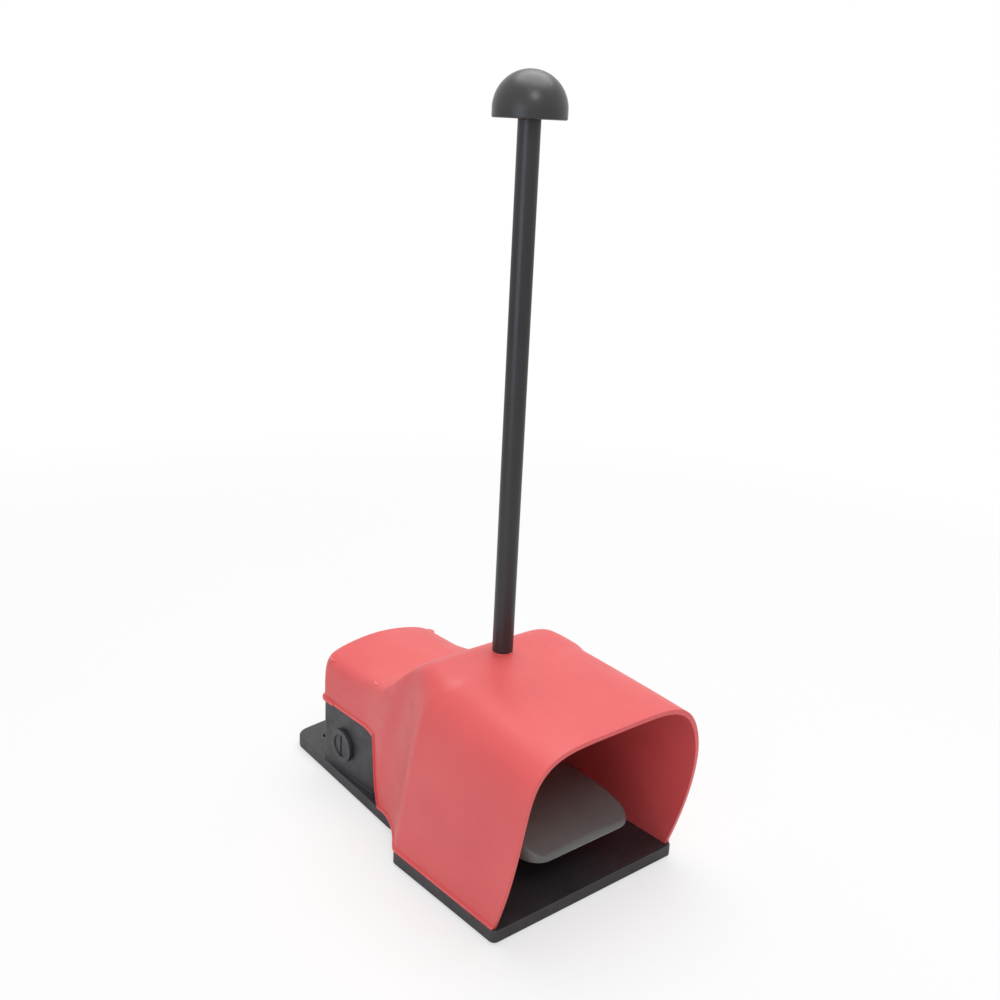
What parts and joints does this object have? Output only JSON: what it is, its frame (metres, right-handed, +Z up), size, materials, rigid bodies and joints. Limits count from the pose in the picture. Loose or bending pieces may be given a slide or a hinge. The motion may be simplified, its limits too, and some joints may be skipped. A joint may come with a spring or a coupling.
{
  "type": "industrial foot switch",
  "caption": "Guarded foot switch: black base with a contact tub, red foot hood and rear cover, hinged treadle pedal, and a carrying rod with a half-ball knob.",
  "frame": {"origin": "on the floor under the middle of the bounding box", "axes": "+Z up along the carrying rod, +Y from the foot opening towards the rear flange, +X to the right seen from the front"},
  "size_m": [0.16, 0.3051, 0.5072],
  "materials": {
    "black_moulding": "fine-textured moulding",
    "red_moulding": "satin moulding",
    "grey_pedal": "satin moulding",
    "rubber": "moulded rubber",
    "zinc_steel": "bright zinc plating",
    "spring_steel": "spring steel",
    "bronze": "sintered bronze or brass",
    "block_plastic": "natural thermoset",
    "plunger_plastic": "acetal",
    "contact_brass": "brass with silver tips",
    "plug_plastic": "moulded nylon",
    "rod_black": "black painted steel",
    "knob_black": "glossy thermoset"
  },
  "bodies": {
    "base": {"base_housing": "black_moulding", "rubber_feet": "rubber", "guard_cover": "red_moulding", "cover_gasket": "rubber", "long_cover_screws": "zinc_steel", "short_cover_screws": "zinc_steel", "hinge_pin": "zinc_steel", "pin_clips": "spring_steel", "return_spring": "spring_steel", "stop_buffers": "rubber", "block_case_left": "block_plastic", "block_case_right": "block_plastic", "block_lid_left": "block_plastic", "block_lid_right": "block_plastic", "contact_spring_left": "spring_steel", "contact_spring_right": "spring_steel", "fixed_contacts_left": "contact_brass", "fixed_contacts_right": "contact_brass", "terminal_screws": "zinc_steel", "block_screws": "zinc_steel", "plunger_seals": "rubber", "side_plug": "plug_plastic", "plug_seal": "rubber", "plug_nut": "plug_plastic", "earth_screw": "contact_brass", "earth_washer": "zinc_steel", "carrying_rod": "rod_black", "rod_washer": "zinc_steel", "rod_lock_washer": "spring_steel", "rod_nut": "zinc_steel", "knob": "knob_black", "knob_insert": "bronze"},
    "pedal_assembly": {"pedal": "grey_pedal", "hinge_bushes": "bronze"},
    "left_plunger": {"plunger_left": "plunger_plastic", "contact_bridge_left": "contact_brass"},
    "right_plunger": {"plunger_right": "plunger_plastic", "contact_bridge_right": "contact_brass"}
  },
  "joints": [
    {"name": "pedal_hinge", "type": "hinge", "parent": "base", "child": "pedal_assembly", "pos_m": [0, 0.0025, 0.04], "axis": [1, 0, 0], "range_deg": [0, 7], "stiffness_Nm_per_rad": 12, "springref_deg": -6.88, "deforming": ["return_spring"]},
    {"name": "left_plunger_slide", "type": "slide", "parent": "base", "child": "left_plunger", "axis": [0, 1, 0], "range_m": [0, 0.0028], "deforming": ["contact_spring_left"]},
    {"name": "right_plunger_slide", "type": "slide", "parent": "base", "child": "right_plunger", "axis": [0, 1, 0], "range_m": [0, 0.0028], "deforming": ["contact_spring_right"]}
  ],
  "couplings": [
    {"joint": "left_plunger_slide", "follows": "pedal_hinge", "m_per_rad": 0.0185},
    {"joint": "right_plunger_slide", "follows": "pedal_hinge", "m_per_rad": 0.0185}
  ]
}
